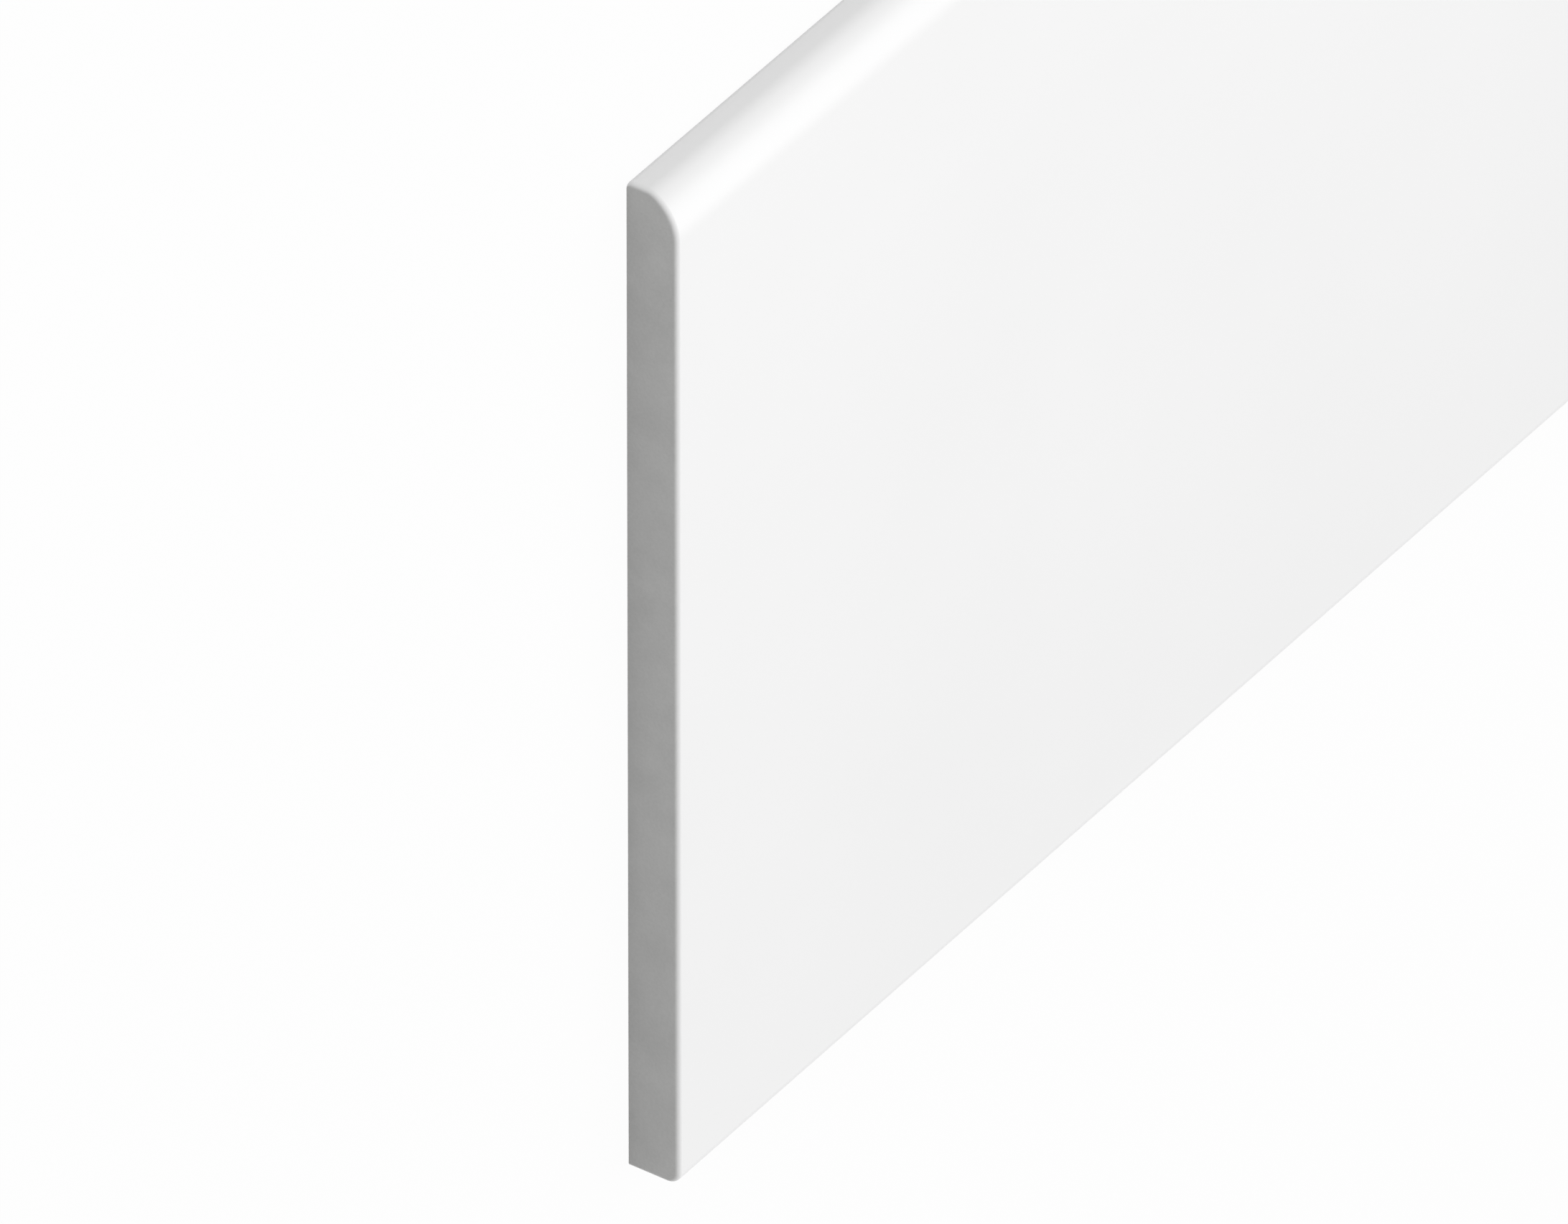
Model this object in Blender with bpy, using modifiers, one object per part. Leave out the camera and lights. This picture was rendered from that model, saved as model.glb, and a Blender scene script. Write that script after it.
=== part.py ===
"""A white cellular PVC flat board with one rounded long edge, in metres, +Z up.

The board is one extruded piece and lies on its back. X runs along its length, Y across its
width with the rounded edge at +Y, and Z from the back to the face. The origin is in the middle
of the back, on the surface that the board lies on.
"""

import math

import bmesh
import bpy
from mathutils import Vector

# Driving dimensions
BOARD_LENGTH = 2.5
BOARD_WIDTH = 0.175
BOARD_THICKNESS = 0.009

# The rounded edge is one large arc that runs out level into the face. Below it the edge is flat
# down to the back, and a smaller arc blends the flat into the large one.
ROUNDED_EDGE_FLAT = 0.0034
ROUNDED_EDGE_BLEND = 0.0025
ROUNDED_EDGE_RADIUS = 0.0085

# The square edge has a small radius towards the face.
SQUARE_EDGE_RADIUS = 0.0018

# The two corners beside the back and the edges of the saw cuts are broken by a fine arris.
ARRIS_RADIUS = 0.0005

# How finely the round stretches are divided
OUTLINE_SEGMENTS = 24
ARRIS_SEGMENTS = 4
ARRIS_FROM_ANGLE = math.radians(60)
FLAT_WITHIN_ANGLE = math.radians(0.1)
WELD_DISTANCE = 0.00001

QUARTER_TURN = math.radians(90)

# Linear colours: the smooth extruded skin, and the duller saw cut through the foam
SKIN_COLOUR = (0.88, 0.88, 0.87, 1.0)
SKIN_ROUGHNESS = 0.35
CUT_COLOUR = (0.50, 0.50, 0.49, 1.0)
CUT_ROUGHNESS = 0.8


def clear_scene():
    for item in list(bpy.data.objects):
        bpy.data.objects.remove(item, do_unlink=True)


def plastic(name, colour, roughness):
    """A Principled material for one surface of the board."""
    material = bpy.data.materials.new(name)
    material.use_nodes = True
    shader = material.node_tree.nodes["Principled BSDF"]
    shader.inputs["Base Color"].default_value = colour
    shader.inputs["Roughness"].default_value = roughness
    shader.inputs["Metallic"].default_value = 0.0
    return material


def arc_knots(start, radius, from_turn, to_turn):
    """Two Bezier points of an arc that starts at a place and bends round from one turn to another.

    A turn is the angle above level that the arc's surface faces, away from the board's middle on
    the rounded edge. Each point is its place and its handles before and after it, where None is a
    straight side.
    """
    facing = Vector((math.cos(from_turn), math.sin(from_turn)))
    facing_end = Vector((math.cos(to_turn), math.sin(to_turn)))
    end = start + (facing_end - facing) * radius
    handle = 4 / 3 * math.tan((to_turn - from_turn) / 4) * radius
    ahead = Vector((-facing.y, facing.x)) * handle
    back = Vector((facing_end.y, -facing_end.x)) * handle
    return (start, None, start + ahead), (end, end + back, None)


def outline_knots():
    """The Bezier points of the section in order round it, seen along the length."""
    half_width = BOARD_WIDTH / 2
    rise = ROUNDED_EDGE_FLAT - BOARD_THICKNESS + ROUNDED_EDGE_RADIUS
    meeting_turn = math.asin(rise / (ROUNDED_EDGE_RADIUS - ROUNDED_EDGE_BLEND))
    flat_top = Vector((half_width, ROUNDED_EDGE_FLAT))
    blend_start, blend_end = arc_knots(flat_top, ROUNDED_EDGE_BLEND, 0, meeting_turn)
    large_start, large_end = arc_knots(blend_end[0], ROUNDED_EDGE_RADIUS, meeting_turn, QUARTER_TURN)
    meeting = (blend_end[0], blend_end[1], large_start[2])
    face_end = Vector((SQUARE_EDGE_RADIUS - half_width, BOARD_THICKNESS))
    return [
        (Vector((-half_width, 0)), None, None),
        (Vector((half_width, 0)), None, None),
        blend_start,
        meeting,
        large_end,
        *arc_knots(face_end, SQUARE_EDGE_RADIUS, QUARTER_TURN, 2 * QUARTER_TURN),
    ]


def place_handle(point, side, place):
    """Sets one handle of a Bezier point: at a place, or straight along the side where it is None."""
    if place is None:
        setattr(point, f"handle_{side}_type", "VECTOR")
        return
    setattr(point, f"handle_{side}_type", "FREE")
    setattr(point, f"handle_{side}", place.to_3d())


def section_curve():
    """The section as a closed flat curve, drawn out to the board's length along its own Z."""
    curve = bpy.data.curves.new("board_section", "CURVE")
    curve.dimensions = "2D"
    curve.fill_mode = "BOTH"
    curve.resolution_u = OUTLINE_SEGMENTS
    curve.extrude = BOARD_LENGTH / 2
    knots = outline_knots()
    spline = curve.splines.new("BEZIER")
    spline.bezier_points.add(len(knots) - 1)
    spline.use_cyclic_u = True
    for point, (place, before, after) in zip(spline.bezier_points, knots):
        point.co = place.to_3d()
        place_handle(point, "left", before)
        place_handle(point, "right", after)
    return curve


def solid_from_curve(name, curve):
    """The drawn-out curve as one closed mesh, its end caps welded on and each a single face."""
    guide = bpy.data.objects.new(name + "_guide", curve)
    bpy.context.scene.collection.objects.link(guide)
    depsgraph = bpy.context.evaluated_depsgraph_get()
    mesh = bpy.data.meshes.new_from_object(guide.evaluated_get(depsgraph))
    mesh.name = name
    bpy.data.objects.remove(guide, do_unlink=True)
    bpy.data.curves.remove(curve)

    solid = bmesh.new()
    solid.from_mesh(mesh)
    bmesh.ops.remove_doubles(solid, verts=solid.verts, dist=WELD_DISTANCE)
    bmesh.ops.dissolve_limit(
        solid, angle_limit=FLAT_WITHIN_ANGLE, verts=solid.verts, edges=solid.edges
    )
    bmesh.ops.recalc_face_normals(solid, faces=solid.faces)
    solid.to_mesh(mesh)
    solid.free()
    return mesh


def finish_surfaces(mesh):
    """Gives the mesh its skin, and the saw cuts at both ends their own material."""
    mesh.materials.clear()
    mesh.materials.append(plastic("extruded_pvc_skin", SKIN_COLOUR, SKIN_ROUGHNESS))
    mesh.materials.append(plastic("saw_cut_pvc", CUT_COLOUR, CUT_ROUGHNESS))
    for face in mesh.polygons:
        is_saw_cut = abs(face.normal.z) > math.cos(ARRIS_FROM_ANGLE)
        face.material_index = int(is_saw_cut)
    mesh.shade_smooth()


def round_arrises(board):
    arris = board.modifiers.new("arris", "BEVEL")
    arris.limit_method = "ANGLE"
    arris.angle_limit = ARRIS_FROM_ANGLE
    arris.offset_type = "OFFSET"
    arris.width = ARRIS_RADIUS
    arris.segments = ARRIS_SEGMENTS
    arris.harden_normals = True


def make_flat_board(collection):
    mesh = solid_from_curve("flat_board", section_curve())
    finish_surfaces(mesh)
    board = bpy.data.objects.new("flat_board", mesh)
    collection.objects.link(board)
    # The section was drawn in the mesh's XY, with its length along Z. It is turned so that the
    # width lies along Y, the thickness stands up along Z and the length runs along X.
    board.rotation_euler = (math.radians(90), 0, math.radians(90))
    round_arrises(board)
    return board


def main():
    clear_scene()
    collection = bpy.data.collections.new("pvc_flat_board")
    bpy.context.scene.collection.children.link(collection)
    make_flat_board(collection)
    bpy.context.view_layer.update()


main()
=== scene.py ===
"""A white foamed PVC flat board with one rounded long edge, lying on its back on a white floor.

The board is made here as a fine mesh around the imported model's solid, with the same section, and
its two sawn ends get the shallow marks that a saw blade leaves. X runs along the length, Y across
the width with the rounded edge at +Y, and Z from the back to the face. Lengths are in metres.
"""

import math

import bmesh
import bpy
from bpy.props import FloatProperty, FloatVectorProperty, IntProperty, PointerProperty
from mathutils import Matrix, Vector, noise


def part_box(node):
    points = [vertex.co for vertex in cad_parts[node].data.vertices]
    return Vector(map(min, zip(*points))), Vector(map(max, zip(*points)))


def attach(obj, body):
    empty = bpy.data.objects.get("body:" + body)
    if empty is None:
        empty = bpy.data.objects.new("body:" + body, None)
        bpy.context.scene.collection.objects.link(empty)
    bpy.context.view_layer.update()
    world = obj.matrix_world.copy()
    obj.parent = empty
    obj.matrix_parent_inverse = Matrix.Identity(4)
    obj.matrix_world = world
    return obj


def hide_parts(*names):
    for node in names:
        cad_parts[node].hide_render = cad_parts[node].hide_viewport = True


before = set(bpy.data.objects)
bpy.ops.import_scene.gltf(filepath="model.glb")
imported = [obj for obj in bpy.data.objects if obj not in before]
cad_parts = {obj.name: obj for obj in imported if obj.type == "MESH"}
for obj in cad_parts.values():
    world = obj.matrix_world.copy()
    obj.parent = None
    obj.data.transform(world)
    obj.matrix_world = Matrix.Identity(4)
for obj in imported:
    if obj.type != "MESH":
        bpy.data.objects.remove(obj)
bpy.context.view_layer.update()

bl_info = {
    "name": "PVC flat board",
    "version": (1, 0, 0),
    "blender": (4, 5, 0),
    "location": "3D View > Sidebar > Board",
    "description": "Makes a foamed PVC flat board with a rounded edge, and a white stage for it",
    "category": "Object",
}

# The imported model's box, which the board made here has to keep to
BOARD_LOW, BOARD_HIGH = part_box("flat_board")
MM = 0.001

# The photograph's frame, and where it shows the bottom corner of the near end beside the back
PICTURE_WIDTH = 2184
PICTURE_HEIGHT = 1705
CORNER_PIXEL = (873.6, 1624.0)
PIXELS_PER_METRE = 9746


def linear_colour(hex_code):
    """An sRGB hex colour as the linear red, green and blue that Blender's shaders work in."""
    channels = [int(hex_code[start : start + 2], 16) / 255 for start in (1, 3, 5)]
    return [c / 12.92 if c <= 0.04045 else ((c + 0.055) / 1.055) ** 2.4 for c in channels]


class BoardSizes(bpy.types.PropertyGroup):
    """The section's roundings and the saw's marks. Length, width and thickness come from the frame."""

    rounded_edge_flat: FloatProperty(
        name="Flat below rounding",
        description="Height above the back at which the rounded edge starts to turn in",
        default=3.5 * MM,
        min=1 * MM,
        unit="LENGTH",
        precision=4,
    )
    rounded_edge_radius: FloatProperty(
        name="Rounded edge radius",
        description="Radius of the rounded edge, which runs out level into the face",
        default=8.5 * MM,
        min=3 * MM,
        unit="LENGTH",
        precision=4,
    )
    rounded_edge_blend: FloatProperty(
        name="Rounded edge blend",
        description="Smaller radius where the flat turns into the rounded edge",
        default=3.2 * MM,
        min=0.1 * MM,
        unit="LENGTH",
        precision=4,
    )
    square_edge_radius: FloatProperty(
        name="Square edge radius",
        description="Radius of the square edge's corner beside the face",
        default=2.2 * MM,
        min=0.7 * MM,
        unit="LENGTH",
        precision=4,
    )
    rounded_side_arris: FloatProperty(
        name="Arris under rounded edge",
        description="Radius of the long corner between the back and the rounded edge",
        default=1.1 * MM,
        min=0.1 * MM,
        unit="LENGTH",
        precision=4,
    )
    square_side_arris: FloatProperty(
        name="Arris under square edge",
        description="Radius of the long corner between the back and the square edge",
        default=0.15 * MM,
        min=0.1 * MM,
        unit="LENGTH",
        precision=4,
    )
    end_arris: FloatProperty(
        name="End arris",
        description="Radius that breaks the edges of the sawn ends, other than beside the back",
        default=0.8 * MM,
        min=0.1 * MM,
        unit="LENGTH",
        precision=4,
    )
    cut_above_back: FloatProperty(
        name="Cut above back",
        description="How far above the back the sawn ends' flat starts",
        default=0.35 * MM,
        min=0.1 * MM,
        unit="LENGTH",
        precision=4,
    )
    saw_mark_depth: FloatProperty(
        name="Saw mark depth",
        description="Depth of the marks that the saw's teeth leave across the ends",
        default=0.012 * MM,
        min=0,
        unit="LENGTH",
        precision=5,
    )
    saw_feed: FloatProperty(
        name="Saw feed",
        description="How far the board moves along the blade for each turn, from mark to mark",
        default=3 * MM,
        min=0.5 * MM,
        unit="LENGTH",
        precision=4,
    )
    saw_blade_radius: FloatProperty(
        name="Saw blade radius",
        description="Radius of the blade, and so of the arcs that it leaves",
        default=125 * MM,
        min=20 * MM,
        unit="LENGTH",
        precision=4,
    )
    face_step: FloatProperty(
        name="Step across face",
        description="Width of the mesh's cells where the section is straight",
        default=0.6 * MM,
        min=0.2 * MM,
        unit="LENGTH",
        precision=4,
    )
    end_rows: IntProperty(
        name="Rows across end",
        description="Number of the mesh's cells from the back to the face on the sawn ends",
        default=36,
        min=2,
    )
    length_steps: IntProperty(
        name="Steps along length",
        description="Number of the mesh's cells along the board",
        default=12,
        min=1,
    )


class BoardColours(bpy.types.PropertyGroup):
    """What the board's two surfaces look like"""

    skin: FloatVectorProperty(
        name="Skin",
        description="Colour of the smooth extruded skin",
        default=linear_colour("#F1F1F1"),
        subtype="COLOR",
        min=0,
        max=1,
    )
    skin_roughness: FloatProperty(
        name="Skin roughness",
        description="How dull the extruded skin's reflections are",
        default=0.4,
        subtype="FACTOR",
        min=0,
        max=1,
    )
    # The saw cut's grey is partly the sawn foam's own duller tone and partly painted shade: it is
    # darker than the foam itself.
    cut: FloatVectorProperty(
        name="Saw cut",
        description="Colour of the sawn foam, whose open cells hold shade",
        default=linear_colour("#B6B6B5"),
        subtype="COLOR",
        min=0,
        max=1,
    )
    cut_roughness: FloatProperty(
        name="Saw cut roughness",
        description="How dull the sawn foam's reflections are",
        default=0.85,
        subtype="FACTOR",
        min=0,
        max=1,
    )


class StageSettings(bpy.types.PropertyGroup):
    """The floor, the light and the view"""

    floor: FloatVectorProperty(
        name="Floor",
        description="Colour of the white floor",
        default=linear_colour("#D9D9D9"),
        subtype="COLOR",
        min=0,
        max=1,
    )
    floor_span: FloatProperty(
        name="Floor span",
        description="Width and length of the floor",
        default=60,
        min=4,
        unit="LENGTH",
    )
    sky_strength: FloatProperty(
        name="Sky light",
        description="Light that comes from all round, where 1 shows a colour as it is",
        default=0.65,
        min=0,
    )
    far_strength: FloatProperty(
        name="Far light",
        description="Light on a surface that faces the far lamp, where 1 shows a colour as it is",
        default=0.32,
        min=0,
    )
    far_direction: FloatVectorProperty(
        name="Far light direction",
        description="Where the far lamp stands, beyond the board's far end",
        default=(0.8, 0, 0.6),
        subtype="DIRECTION",
    )
    far_spread: FloatProperty(
        name="Far light spread",
        description="How wide the far lamp looks from the board",
        default=math.radians(50),
        subtype="ANGLE",
    )
    strip_strength: FloatProperty(
        name="Strip light",
        description="Light on a surface that faces the strip lamp, where 1 shows a colour as it is",
        default=0.19,
        min=0,
    )
    strip_side: FloatProperty(
        name="Strip to the side",
        description="How far the strip lamp hangs from the board's middle, on the rounded edge's side",
        default=0.2,
        unit="LENGTH",
    )
    strip_height: FloatProperty(
        name="Strip height",
        description="How high the strip lamp hangs over the floor",
        default=0.33,
        min=0.1,
        unit="LENGTH",
    )
    strip_width: FloatProperty(
        name="Strip width",
        description="Width of the strip lamp",
        default=0.2,
        min=0.02,
        unit="LENGTH",
    )
    strip_length: FloatProperty(
        name="Strip length",
        description="Length of the strip lamp, well past both ends of the board",
        default=8,
        min=0.5,
        unit="LENGTH",
    )
    azimuth: FloatProperty(
        name="View azimuth",
        description="Direction that the camera looks from, anticlockwise from the front",
        default=math.radians(227.5),
        subtype="ANGLE",
    )
    elevation: FloatProperty(
        name="View elevation",
        description="Height that the camera looks from, above the level of the floor",
        default=math.radians(27.13),
        subtype="ANGLE",
    )
    lens: FloatProperty(
        name="Lens",
        description="Focal length, long so that the view is nearly parallel, as in the photograph",
        default=1200,
        min=50,
        unit="CAMERA",
    )


def add_node(tree, kind, settings=None, inputs=None):
    """Adds a node with its own settings, and fills each input with a value or from another output."""
    node = tree.nodes.new(kind)
    for name, value in (settings or {}).items():
        setattr(node, name, value)
    for name, value in (inputs or {}).items():
        if isinstance(value, bpy.types.NodeSocket):
            tree.links.new(value, node.inputs[name])
        else:
            node.inputs[name].default_value = value
    return node


def new_material(name):
    """An empty material's node tree and its Principled shader."""
    material = bpy.data.materials.new(name)
    material.use_nodes = True
    tree = material.node_tree
    return material, tree, tree.nodes["Principled BSDF"]


# Rigid PVC in the round, whatever its surface
PVC_IOR = 1.54

# The sizing sleeve drags faint lines along the skin
DRAW_LINE_SPACING = 2.5 * MM
DRAW_LINE_RUN = 400 * MM
DRAW_LINE_HEIGHT = 0.004 * MM

# Foam under the skin shrinks unevenly and leaves a slow ripple
RIPPLE_SPACING = 14 * MM
RIPPLE_HEIGHT = 0.01 * MM

# The powder mix drifts in tone over some centimetres, and never by much
TONE_SPACING = 60 * MM
TONE_RANGE = {"To Min": 0.99, "To Max": 1.005}

# How far the draw lines make the roughness rise and fall
DULLNESS_DRIFT = 0.03

# Most of a noise texture's values lie between these two
NOISE_RANGE = {"From Min": 0.3, "From Max": 0.7}


def extruded_foam_pvc(colours):
    """Foamed PVC drawn through a cooled sizing sleeve: a closed satin skin over fine foam.

    To the eye it is an even, faintly warm white with a soft sheen. Lines too fine to count run
    the whole length, and a slow ripple bends the light a little.
    """
    material, tree, shader = new_material("extruded_foam_pvc")
    place = add_node(tree, "ShaderNodeTexCoord").outputs["Object"]
    along = add_node(
        tree,
        "ShaderNodeVectorMath",
        {"operation": "MULTIPLY"},
        {0: place, 1: (DRAW_LINE_SPACING / DRAW_LINE_RUN, 1, 1)},
    )
    draw_lines = add_node(
        tree,
        "ShaderNodeTexNoise",
        inputs={"Vector": along.outputs[0], "Scale": 1 / DRAW_LINE_SPACING, "Detail": 2.0},
    )
    ripple = add_node(
        tree,
        "ShaderNodeTexNoise",
        inputs={"Vector": place, "Scale": 1 / RIPPLE_SPACING, "Detail": 1.0},
    )
    tone = add_node(
        tree,
        "ShaderNodeTexNoise",
        inputs={"Vector": place, "Scale": 1 / TONE_SPACING, "Detail": 3.0},
    )
    drift = add_node(
        tree,
        "ShaderNodeMapRange",
        inputs={"Value": tone.outputs["Fac"], **NOISE_RANGE, **TONE_RANGE},
    )
    skin = add_node(
        tree,
        "ShaderNodeVectorMath",
        {"operation": "SCALE"},
        {0: colours.skin, "Scale": drift.outputs["Result"]},
    )
    dullness = add_node(
        tree,
        "ShaderNodeMapRange",
        inputs={
            "Value": draw_lines.outputs["Fac"],
            **NOISE_RANGE,
            "To Min": colours.skin_roughness - DULLNESS_DRIFT,
            "To Max": colours.skin_roughness + DULLNESS_DRIFT,
        },
    )
    rippled = add_node(
        tree,
        "ShaderNodeBump",
        inputs={"Height": ripple.outputs["Fac"], "Distance": RIPPLE_HEIGHT, "Strength": 1.0},
    )
    lined = add_node(
        tree,
        "ShaderNodeBump",
        inputs={
            "Height": draw_lines.outputs["Fac"],
            "Distance": DRAW_LINE_HEIGHT,
            "Strength": 1.0,
            "Normal": rippled.outputs["Normal"],
        },
    )
    tree.links.new(skin.outputs[0], shader.inputs["Base Color"])
    tree.links.new(dullness.outputs["Result"], shader.inputs["Roughness"])
    tree.links.new(lined.outputs["Normal"], shader.inputs["Normal"])
    shader.inputs["IOR"].default_value = PVC_IOR
    return material


# The foam's cells are 0.1 to 0.2 mm across. They are drawn coarser, so that they show.
CELL_SPACING = 0.45 * MM
CELL_DEPTH = 0.02 * MM
CELL_TONES = {"To Min": 0.97, "To Max": 1.03}

# Denser and lighter foam lie in patches some millimetres across
PATCH_SPACING = 6 * MM
PATCH_TONES = {"To Min": 0.96, "To Max": 1.04}

# How fast the skin takes over from the cut's grey, which is partly painted shade, as the broken edge
# turns away from the cut.
# The number is even, so that it does the same at the end that faces the other way.
SKIN_OVERLAP = 4.0


def sawn_foam_pvc_and_painted_shade(colours):
    """Foamed PVC cut by a fine saw: a dull surface of open cells, with the edges broken by hand.

    To the eye it is a flat light grey beside the skin, with faint soft patches. The grey is partly
    the foam's own duller tone, as each open cell holds a little shade, and partly painted shade: it
    is darker than the sawn foam itself, to stand for the shade on an end turned from the lamps.
    The broken edge runs from this grey to the white of the skin.
    """
    material, tree, shader = new_material("sawn_foam_pvc_and_painted_shade")
    coordinates = add_node(tree, "ShaderNodeTexCoord").outputs
    place = coordinates["Object"]
    patches = add_node(
        tree,
        "ShaderNodeTexNoise",
        inputs={"Vector": place, "Scale": 1 / PATCH_SPACING, "Detail": 3.0},
    )
    cells = add_node(
        tree,
        "ShaderNodeTexNoise",
        inputs={"Vector": place, "Scale": 1 / CELL_SPACING, "Detail": 2.0},
    )
    patch_tone = add_node(
        tree,
        "ShaderNodeMapRange",
        inputs={"Value": patches.outputs["Fac"], **NOISE_RANGE, **PATCH_TONES},
    )
    cell_tone = add_node(
        tree,
        "ShaderNodeMapRange",
        inputs={"Value": cells.outputs["Fac"], **NOISE_RANGE, **CELL_TONES},
    )
    tone = add_node(
        tree,
        "ShaderNodeMath",
        {"operation": "MULTIPLY"},
        {0: patch_tone.outputs["Result"], 1: cell_tone.outputs["Result"]},
    )
    # The cut's grey, partly painted shade, varied by the foam's patches and cells
    cut = add_node(
        tree,
        "ShaderNodeVectorMath",
        {"operation": "SCALE"},
        {0: colours.cut, "Scale": tone.outputs[0]},
    )
    facing = add_node(tree, "ShaderNodeSeparateXYZ", inputs={"Vector": coordinates["Normal"]})
    # On the broken edge the colour runs from the cut's grey, partly painted shade, to the skin's white
    # as the surface turns from the end
    cut_share = add_node(
        tree,
        "ShaderNodeMath",
        {"operation": "POWER"},
        {0: facing.outputs["X"], 1: SKIN_OVERLAP},
    )
    surface = add_node(
        tree,
        "ShaderNodeMix",
        {"data_type": "RGBA"},
        {0: cut_share.outputs[0], 6: (*colours.skin, 1), 7: cut.outputs[0]},
    )
    dullness = add_node(
        tree,
        "ShaderNodeMapRange",
        inputs={
            "Value": cut_share.outputs[0],
            "To Min": colours.skin_roughness,
            "To Max": colours.cut_roughness,
        },
    )
    pitted = add_node(
        tree,
        "ShaderNodeBump",
        inputs={"Height": cells.outputs["Fac"], "Distance": CELL_DEPTH, "Strength": 0.5},
    )
    tree.links.new(surface.outputs[2], shader.inputs["Base Color"])
    tree.links.new(dullness.outputs["Result"], shader.inputs["Roughness"])
    tree.links.new(pitted.outputs["Normal"], shader.inputs["Normal"])
    shader.inputs["IOR"].default_value = PVC_IOR
    return material


# How finely the round stretches of the section and the broken edges of the ends are divided
SQUARE_EDGE_STEPS = 16
ROUNDED_EDGE_STEPS = 44
END_ARRIS_STEPS = 6

# The blade's lowest teeth pass this far under the board's back
BLADE_BELOW_BACK = 5 * MM

# The marks wander and fade in patches of this size, by these shares of the feed and the depth
MARK_PATCH = 11 * MM
MARK_WANDER = 0.2
MARK_FADE = 0.4

# A place elsewhere in the noise, so that the fading doesn't follow the wandering
ANOTHER_PATCH = Vector((0, 0, 7))

# How far apart the places are from which a mark's slope is worked out
SLOPE_STEP = 0.05 * MM

# The map that the surfaces are baked through: the unrolled skin above, and one strip for each end
BAKE_MAP = "OFBake"
MAP_MARGIN = 0.008
END_STRIP_HEIGHT = 0.06
QUARTER_TURN = math.radians(90)


def even_steps(start, end, count):
    """Places from start towards end, without the end itself."""
    return [start + (end - start) * step / count for step in range(count)]


def column_places(sizes):
    """Places across the board where its section is divided, closest together round its corners."""
    radius = sizes.square_edge_radius
    straight_start = BOARD_LOW.y + radius
    straight_end = rounded_edge_point(QUARTER_TURN, sizes).x
    straight_count = math.ceil((straight_end - straight_start) / sizes.face_step)
    square_turns = even_steps(0, QUARTER_TURN, SQUARE_EDGE_STEPS)
    rounded_turns = even_steps(QUARTER_TURN, 0, ROUNDED_EDGE_STEPS) + [0]
    return (
        [BOARD_LOW.y + radius * (1 - math.cos(turn)) for turn in square_turns]
        + even_steps(straight_start, straight_end, straight_count)
        + [rounded_edge_point(turn, sizes).x for turn in rounded_turns]
    )


def blend_turn(sizes):
    """How far the rounded edge has turned where its small blending arc meets the large one."""
    rise = sizes.rounded_edge_flat - BOARD_HIGH.z + sizes.rounded_edge_radius
    return math.asin(rise / (sizes.rounded_edge_radius - sizes.rounded_edge_blend))


def rounded_edge_point(turn, sizes):
    """The rounded edge's point that faces up by a turn from level."""
    blend = sizes.rounded_edge_blend
    radius = sizes.rounded_edge_radius
    meeting = min(turn, blend_turn(sizes))
    inwards = blend * (1 - math.cos(meeting)) + radius * (math.cos(meeting) - math.cos(turn))
    upwards = blend * math.sin(meeting) + radius * (math.sin(turn) - math.sin(meeting))
    return Vector((BOARD_HIGH.y - inwards, sizes.rounded_edge_flat + upwards))


def rounded_edge_head(y, sizes):
    """The face's point at a place across the board, past the start of its straight stretch."""
    meeting = blend_turn(sizes)
    from_side = BOARD_HIGH.y - y
    from_centre = y - rounded_edge_point(QUARTER_TURN, sizes).x
    if y > rounded_edge_point(meeting, sizes).x:
        turn = math.acos(min(max(1 - from_side / sizes.rounded_edge_blend, 0), 1))
    else:
        turn = math.acos(min(max(from_centre / sizes.rounded_edge_radius, 0), 1))
    place = Vector((y, rounded_edge_point(turn, sizes).y))
    return place, Vector((math.cos(turn), math.sin(turn)))


def corner_point(y, side, from_side, radius, level, upwards):
    """A point of a corner rounded by a quarter of a circle, and the direction that it faces.

    The corner is on one side of the board. Its flat lies at a level and faces up or down, and
    further in than the radius the point is on that flat.
    """
    share = min(max(1 - from_side / radius, 0), 1)
    rise = math.sqrt(1 - share * share)
    place = Vector((y, level - upwards * radius * (1 - rise)))
    return place, Vector((side * share, upwards * rise))


def section_columns(sizes):
    """The section in columns: for each, its foot on the back and its head on the face."""
    columns = []
    for y in column_places(sizes):
        from_left = y - BOARD_LOW.y
        from_right = BOARD_HIGH.y - y
        if from_left < from_right:
            foot = corner_point(y, -1, from_left, sizes.square_side_arris, 0, -1)
            head = corner_point(y, -1, from_left, sizes.square_edge_radius, BOARD_HIGH.z, 1)
        else:
            foot = corner_point(y, 1, from_right, sizes.rounded_side_arris, 0, -1)
            head = rounded_edge_head(y, sizes)
        columns.append((foot, head))
    return columns


def round_section(feet, heads, rows):
    """Places or directions once round the section, from those of the columns' feet and heads.

    They run along the back to the rounded edge, up it, back along the face and down the square
    edge, so that those between a column's foot and its head match on the two edges.
    """
    up = [step / rows for step in range(1, rows)]
    right_side = [feet[-1].lerp(heads[-1], share) for share in up]
    left_side = [feet[0].lerp(heads[0], share) for share in reversed(up)]
    return feet + right_side + heads[::-1] + left_side


def saw_mark(y, z, sizes):
    """Depth of the saw's marks at a place on a cut end.

    The blade passes under the board's back and across its width, so each turn leaves an arc of
    the blade's own radius, one feed further on.
    """
    below_axle = sizes.saw_blade_radius - BLADE_BELOW_BACK - z
    arc = math.sqrt(sizes.saw_blade_radius**2 - below_axle**2)
    patch = Vector((y, z, 0)) / MARK_PATCH
    wander = MARK_WANDER * noise.noise(patch)
    fade = 1 - MARK_FADE + MARK_FADE * noise.noise(patch + ANOTHER_PATCH)
    turns = (y - arc) / sizes.saw_feed + wander
    return sizes.saw_mark_depth * fade * (0.5 - 0.5 * math.cos(2 * math.pi * turns))


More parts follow.
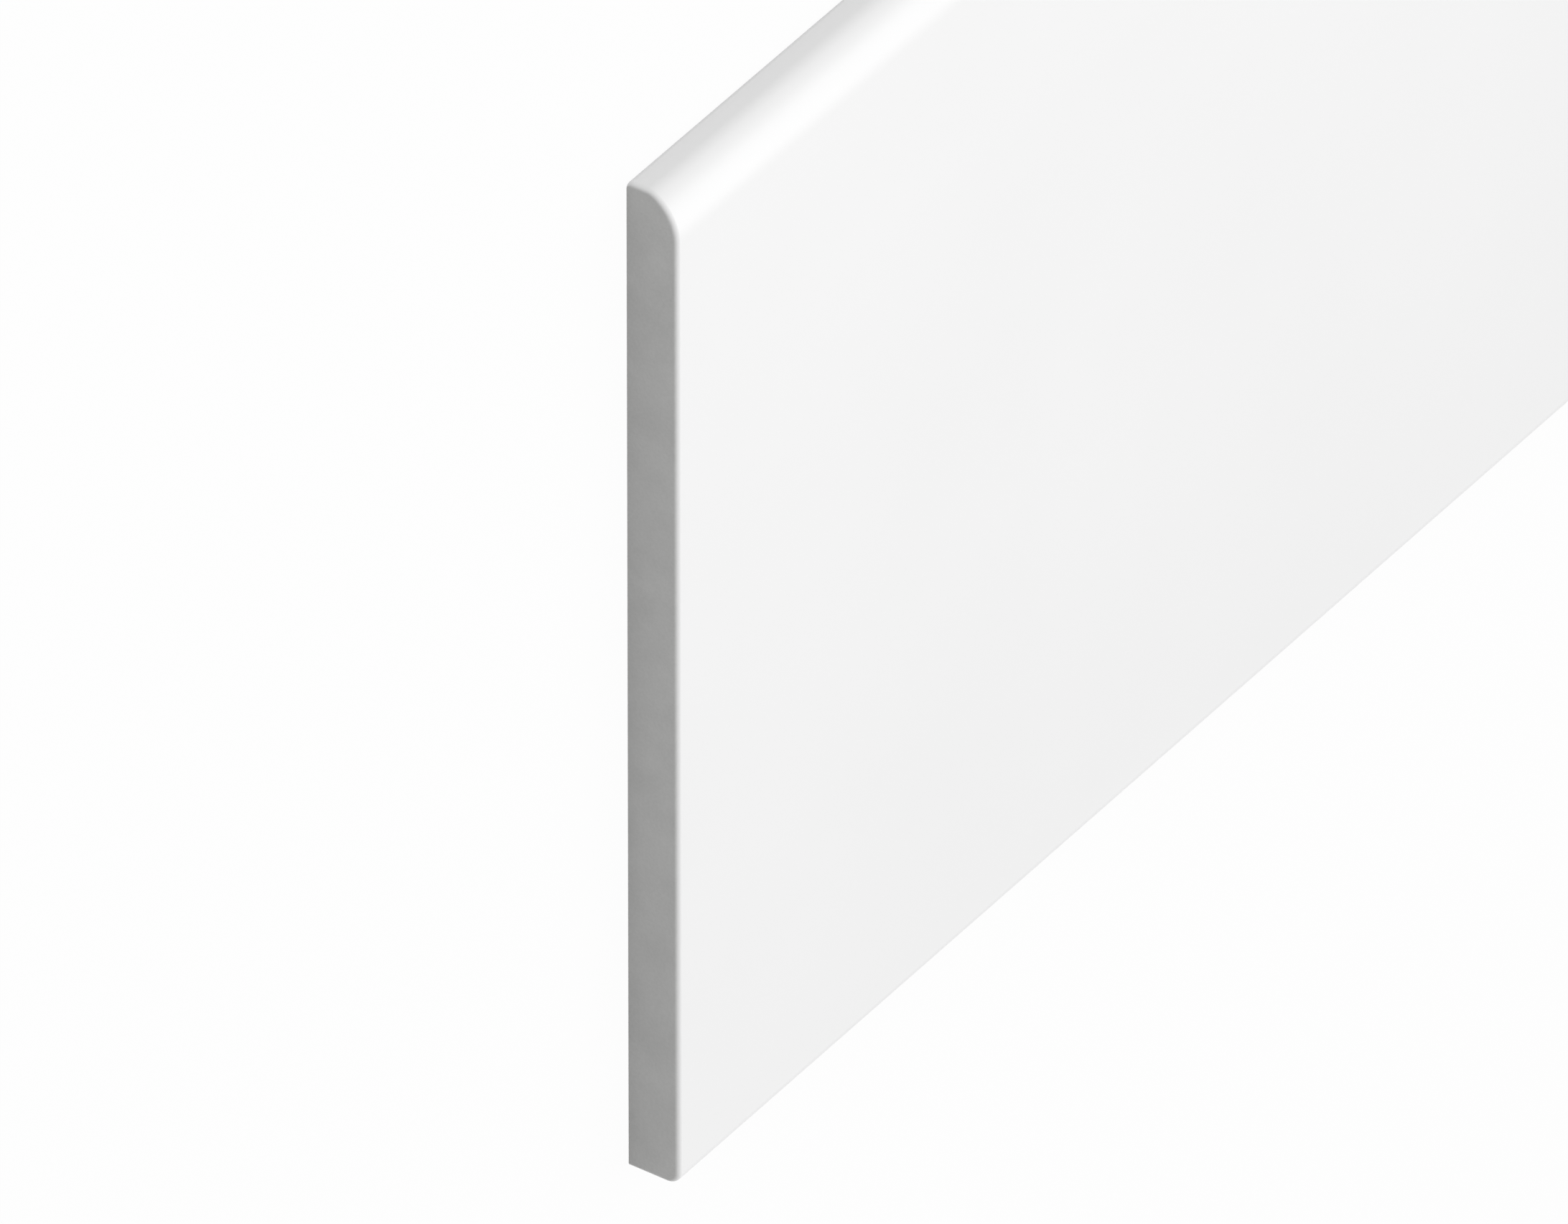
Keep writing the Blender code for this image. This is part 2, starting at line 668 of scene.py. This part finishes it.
def cut_point(side, spot, sizes, share=1.0):
    """A point on a cut end's marked surface, and the direction that it faces there."""
    y, z = spot
    step = SLOPE_STEP
    depth = saw_mark(y, z, sizes)
    slope_y = (saw_mark(y + step, z, sizes) - saw_mark(y - step, z, sizes)) / (2 * step)
    slope_z = (saw_mark(y, z + step, sizes) - saw_mark(y, z - step, sizes)) / (2 * step)
    place = Vector((side * (BOARD_HIGH.x - depth * share), y, z))
    return place, Vector((side, slope_y, slope_z)).normalized()


def cut_foot(y, sizes):
    """The lower end of a cut's column: above the back, and higher inside the rounded side's arris."""
    width = sizes.rounded_side_arris - sizes.end_arris
    height = sizes.rounded_side_arris - sizes.cut_above_back
    from_side = BOARD_HIGH.y - sizes.end_arris - y
    share = min(max(1 - from_side / width, 0), 1) if width > 0 else 0
    return Vector((y, sizes.cut_above_back + height * (1 - math.sqrt(1 - share * share))))


def board_rings(sizes):
    """The rings that run round the board, from the near end's cut to the far end's.

    Each is where it stands along the board, from -1 at the near end to 1 at the far end, and how
    far its surface has turned towards that end's cut.
    """
    turns = even_steps(QUARTER_TURN, 0, END_ARRIS_STEPS)
    along = even_steps(-1, 1, sizes.length_steps) + [1]
    return (
        [(-1, turn) for turn in turns]
        + [(place, 0) for place in along]
        + [(1, turn) for turn in reversed(turns)]
    )


class BoardMesh:
    """The board's points, the directions that they face, and its faces with their places on the map"""

    def __init__(self, sizes):
        self.sizes = sizes
        feet, heads = zip(*section_columns(sizes))
        foot_places, foot_facings = [list(part) for part in zip(*feet)]
        head_places, head_facings = [list(part) for part in zip(*heads)]
        self.outline = round_section(foot_places, head_places, sizes.end_rows)
        self.outline_facings = round_section(foot_facings, head_facings, sizes.end_rows)
        # The cut's own columns stand upright inside the broken edge
        self.cut_heads = [
            place - facing * sizes.end_arris for place, facing in zip(head_places, head_facings)
        ]
        self.cut_feet = [cut_foot(head.x, sizes) for head in self.cut_heads]
        self.cut_outline = round_section(self.cut_feet, self.cut_heads, sizes.end_rows)
        self.lengths = self.outline_lengths()
        self.points = []
        self.facings = []
        self.faces = []
        self.map_places = []
        self.surfaces = []

    def outline_lengths(self):
        """How far round the outline each of its points lies, and the whole way round at the end."""
        lengths = [0]
        for place, following in zip(self.outline, self.outline[1:] + self.outline[:1]):
            lengths.append(lengths[-1] + (following - place).length)
        return lengths

    def add_point(self, place, facing):
        self.points.append(place)
        self.facings.append(facing)
        return len(self.points) - 1

    def add_face(self, corners, map_places, surface):
        self.faces.append(corners)
        self.map_places.extend(map_places)
        self.surfaces.append(surface)

    def add_ring(self, along, turn):
        """One ring of points, which takes the saw's marks by as much as it has turned to the cut."""
        first = len(self.points)
        lean = math.sin(turn)
        length = self.sizes.end_arris
        for place, facing, cut_place in zip(self.outline, self.outline_facings, self.cut_outline):
            depth = (place - cut_place).dot(facing)
            spot = place.lerp(cut_place, 1 - math.cos(turn))
            marked, cut_facing = cut_point(along, spot, self.sizes, lean)
            marked.x -= along * length * (1 - lean)
            level = Vector((0, *facing)) * math.cos(turn)
            self.add_point(marked, (level * length + cut_facing * lean * depth).normalized())
        return first

    def skin_place(self, x, step):
        """Place on the bake map for the skin, unrolled with the length running along it."""
        across = self.lengths[step] / self.lengths[-1]
        low = 2 * END_STRIP_HEIGHT + MAP_MARGIN
        return (
            MAP_MARGIN + (1 - 2 * MAP_MARGIN) * (x - BOARD_LOW.x) / (BOARD_HIGH.x - BOARD_LOW.x),
            low + (1 - MAP_MARGIN - low) * across,
        )

    def end_place(self, side, y, z):
        """Place on the bake map for one end, on a strip of its own at the same scale both ways."""
        scale = (1 - 2 * MAP_MARGIN) / (BOARD_HIGH.y - BOARD_LOW.y + 2 * self.sizes.end_arris)
        # The near end's strip lies under the far end's
        strip = 0.5 if side < 0 else 1.5
        return (
            0.5 + scale * (y - (BOARD_LOW.y + BOARD_HIGH.y) / 2),
            END_STRIP_HEIGHT * strip + scale * (z - BOARD_HIGH.z / 2),
        )

    def unfolded(self, side, step, turn):
        """Place on the bake map of a point of an end's arris, as if it lay flat round the cut."""
        index = step % len(self.outline)
        out = self.cut_outline[index].lerp(self.outline[index], QUARTER_TURN - turn)
        return self.end_place(side, *out)

    def join_rings(self, ring, following, first, second):
        """A band of faces between two rings, on the skin or on an end's broken edge."""
        count = len(self.outline)
        side, turn = ring
        _, following_turn = following
        on_arris = turn + following_turn > 0
        for step in range(count):
            after = (step + 1) % count
            corners = (first + step, first + after, second + after, second + step)
            if on_arris:
                map_places = (
                    self.unfolded(side, step, turn),
                    self.unfolded(side, step + 1, turn),
                    self.unfolded(side, step + 1, following_turn),
                    self.unfolded(side, step, following_turn),
                )
            else:
                map_places = (
                    self.skin_place(self.points[first + step].x, step),
                    self.skin_place(self.points[first + after].x, step + 1),
                    self.skin_place(self.points[second + after].x, step + 1),
                    self.skin_place(self.points[second + step].x, step),
                )
            self.add_face(corners, map_places, int(on_arris))

    def add_cut(self, side, ring_start):
        """The cut's own surface: its columns of points between the foot and the head of each."""
        rows = self.sizes.end_rows
        last = len(self.cut_feet) - 1
        grid = []
        for index, (low, high) in enumerate(zip(self.cut_feet, self.cut_heads)):
            foot_ring = ring_start + index
            head_ring = ring_start + last + rows + (last - index)
            if index == 0:
                between = [ring_start + len(self.outline) - row for row in range(1, rows)]
            elif index == last:
                between = [foot_ring + row for row in range(1, rows)]
            else:
                spots = [low.lerp(high, row / rows) for row in range(1, rows)]
                between = [self.add_point(*cut_point(side, spot, self.sizes)) for spot in spots]
            grid.append([foot_ring, *between, head_ring])
        for left, right in zip(grid, grid[1:]):
            for row in range(rows):
                corners = (left[row], left[row + 1], right[row + 1], right[row])
                if side > 0:
                    corners = tuple(reversed(corners))
                map_places = [self.end_place(side, *self.points[c].yz) for c in corners]
                self.add_face(corners, map_places, 1)

    def build(self):
        """The whole board as one closed mesh."""
        rings = board_rings(self.sizes)
        starts = [self.add_ring(*ring) for ring in rings]
        for index in range(len(rings) - 1):
            self.join_rings(rings[index], rings[index + 1], starts[index], starts[index + 1])
        self.add_cut(-1, starts[0])
        self.add_cut(1, starts[-1])
        mesh = bpy.data.meshes.new("flat_board")
        mesh.from_pydata(self.points, [], self.faces)
        mesh.polygons.foreach_set("material_index", self.surfaces)
        mesh.uv_layers.new(name=BAKE_MAP).uv.foreach_set(
            "vector", [value for place in self.map_places for value in place]
        )
        mesh.shade_smooth()
        mesh.normals_split_custom_set_from_vertices(self.facings)
        mesh.validate()
        return mesh


class PVC_OT_flat_board(bpy.types.Operator):
    """Make the board around the frame's solid, with its extruded skin and its two sawn ends"""

    bl_idname = "pvc_board.make_board"
    bl_label = "Make board"

    def execute(self, context):
        sizes = context.scene.pvc_board_sizes
        colours = context.scene.pvc_board_colours
        if sizes.end_arris >= min(sizes.square_edge_radius, sizes.rounded_edge_blend):
            raise ValueError("The end arris has to be smaller than the radii of the long edges")
        mesh = BoardMesh(sizes).build()
        mesh.materials.append(extruded_foam_pvc(colours))
        mesh.materials.append(sawn_foam_pvc_and_painted_shade(colours))
        board = bpy.data.objects.new("foamed_pvc_board", mesh)
        context.scene.collection.objects.link(board)
        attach(board, "root")
        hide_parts("flat_board")
        return {"FINISHED"}


# The floor stands this far under the board, so that the two don't share a plane
FLOOR_GAP = 0.05 * MM

# Share of the floor's look that is plain white where it is seen, which leaves the shadow faint
FLOOR_WASH = 0.96

# A white that the picture shows as white
WHITE = 1.0


def seen_directly(tree):
    """An output that is 1 for a ray from the camera, or one that is mirrored or passed on."""
    path = add_node(tree, "ShaderNodeLightPath").outputs
    camera_or_mirrored = add_node(
        tree,
        "ShaderNodeMath",
        {"operation": "MAXIMUM"},
        {0: path["Is Camera Ray"], 1: path["Is Glossy Ray"]},
    )
    return add_node(
        tree,
        "ShaderNodeMath",
        {"operation": "MAXIMUM"},
        {0: camera_or_mirrored.outputs[0], 1: path["Is Transmission Ray"]},
    ).outputs[0]


def matt_white_paper(colour):
    """Heavy matt paper, as laid under goods for a picture: white, even and without a sheen."""
    material, tree, shader = new_material("matt_white_paper")
    shader.inputs["Base Color"].default_value = (*colour, 1)
    shader.inputs["Roughness"].default_value = 1.0
    shader.inputs["Specular IOR Level"].default_value = 0.1
    wash = add_node(tree, "ShaderNodeEmission", inputs={"Strength": WHITE})
    share = add_node(
        tree, "ShaderNodeMath", {"operation": "MULTIPLY"}, {0: seen_directly(tree), 1: FLOOR_WASH}
    )
    washed = add_node(
        tree,
        "ShaderNodeMixShader",
        inputs={0: share.outputs[0], 1: shader.outputs[0], 2: wash.outputs[0]},
    )
    tree.links.new(washed.outputs[0], tree.nodes["Material Output"].inputs["Surface"])
    return material


def make_floor(context, stage):
    mesh = bpy.data.meshes.new("paper_floor")
    shape = bmesh.new()
    bmesh.ops.create_grid(shape, x_segments=8, y_segments=8, size=stage.floor_span / 2)
    shape.to_mesh(mesh)
    shape.free()
    mesh.materials.append(matt_white_paper(stage.floor))
    floor = bpy.data.objects.new("paper_floor", mesh)
    floor.location.z = BOARD_LOW.z - FLOOR_GAP
    context.scene.collection.objects.link(floor)


def light_sky(context, stage):
    """A soft light from all round, which shows as white where it is seen."""
    world = bpy.data.worlds.new("studio_sky")
    world.use_nodes = True
    context.scene.world = world
    tree = world.node_tree
    strength = add_node(
        tree,
        "ShaderNodeMix",
        {"data_type": "FLOAT"},
        {0: seen_directly(tree), 2: stage.sky_strength, 3: WHITE},
    )
    background = tree.nodes["Background"]
    background.inputs["Color"].default_value = (1, 1, 1, 1)
    tree.links.new(strength.outputs[0], background.inputs["Strength"])


def add_sun(context, name, direction, strength, spread):
    """A lamp so far off that it lights the whole board alike, from a direction and with a spread."""
    lamp = bpy.data.lights.new(name, "SUN")
    lamp.energy = strength * math.pi
    lamp.angle = spread
    sun = bpy.data.objects.new(name, lamp)
    sun.rotation_mode = "QUATERNION"
    sun.rotation_quaternion = Vector(direction).to_track_quat("Z", "Y")
    context.scene.collection.objects.link(sun)


def hang_strip(context, stage):
    """A long narrow softbox over the rounded edge's side, whose light fades across the face."""
    lamp = bpy.data.lights.new("strip_light", "AREA")
    lamp.shape = "RECTANGLE"
    lamp.size = stage.strip_length
    lamp.size_y = stage.strip_width
    away = Vector((0, stage.strip_side, stage.strip_height))
    lamp.energy = stage.strip_strength * 2 * math.pi * away.length * stage.strip_length
    strip = bpy.data.objects.new("strip_light", lamp)
    strip.location = away
    strip.rotation_euler.x = -math.atan2(stage.strip_side, stage.strip_height)
    strip.visible_camera = False
    context.scene.collection.objects.link(strip)


def place_camera(context, stage):
    """A far camera with a long lens, turned so that the board's width stands upright in its view."""
    around = stage.azimuth
    towards = Vector(
        (
            math.sin(around) * math.cos(stage.elevation),
            -math.cos(around) * math.cos(stage.elevation),
            math.sin(stage.elevation),
        )
    )
    right = Vector((0, 1, 0)).cross(towards).normalized()
    up = towards.cross(right)
    corner = Vector((BOARD_LOW.x, BOARD_LOW.y, BOARD_LOW.z))
    middle = (
        corner
        + right * (PICTURE_WIDTH / 2 - CORNER_PIXEL[0]) / PIXELS_PER_METRE
        + up * (CORNER_PIXEL[1] - PICTURE_HEIGHT / 2) / PIXELS_PER_METRE
    )
    lens = bpy.data.cameras.new("camera")
    lens.lens = stage.lens
    camera = bpy.data.objects.new("camera", lens)
    view_width = PICTURE_WIDTH / PIXELS_PER_METRE
    distance = view_width * stage.lens / lens.sensor_width
    axes = Matrix((right, up, towards)).transposed().to_4x4()
    camera.matrix_world = Matrix.Translation(middle + towards * distance) @ axes
    context.scene.collection.objects.link(camera)
    context.scene.camera = camera


class PVC_OT_stage(bpy.types.Operator):
    """Lay the white floor, light the board and place the camera"""

    bl_idname = "pvc_board.set_stage"
    bl_label = "Set stage"

    def execute(self, context):
        stage = context.scene.pvc_board_stage
        make_floor(context, stage)
        light_sky(context, stage)
        add_sun(context, "far_light", stage.far_direction, stage.far_strength, stage.far_spread)
        hang_strip(context, stage)
        place_camera(context, stage)
        context.scene.view_settings.view_transform = "Standard"
        return {"FINISHED"}


class PVC_PT_board(bpy.types.Panel):
    """The board's sizes and colours, and the stage"""

    bl_idname = "PVC_PT_board"
    bl_label = "PVC flat board"
    bl_space_type = "VIEW_3D"
    bl_region_type = "UI"
    bl_category = "Board"

    def draw(self, context):
        scene = context.scene
        for settings in (scene.pvc_board_sizes, scene.pvc_board_colours):
            box = self.layout.box()
            for name in settings.__annotations__:
                box.prop(settings, name)
        self.layout.operator(PVC_OT_flat_board.bl_idname)
        box = self.layout.box()
        for name in scene.pvc_board_stage.__annotations__:
            box.prop(scene.pvc_board_stage, name)
        self.layout.operator(PVC_OT_stage.bl_idname)


CLASSES = (
    BoardSizes,
    BoardColours,
    StageSettings,
    PVC_OT_flat_board,
    PVC_OT_stage,
    PVC_PT_board,
)


def register():
    for kind in CLASSES:
        bpy.utils.register_class(kind)
    bpy.types.Scene.pvc_board_sizes = PointerProperty(type=BoardSizes)
    bpy.types.Scene.pvc_board_colours = PointerProperty(type=BoardColours)
    bpy.types.Scene.pvc_board_stage = PointerProperty(type=StageSettings)


def unregister():
    del bpy.types.Scene.pvc_board_stage
    del bpy.types.Scene.pvc_board_colours
    del bpy.types.Scene.pvc_board_sizes
    for kind in reversed(CLASSES):
        bpy.utils.unregister_class(kind)


def main():
    register()
    bpy.ops.pvc_board.make_board()
    bpy.ops.pvc_board.set_stage()
    bpy.context.view_layer.update()


if __name__ == "__main__":
    main()
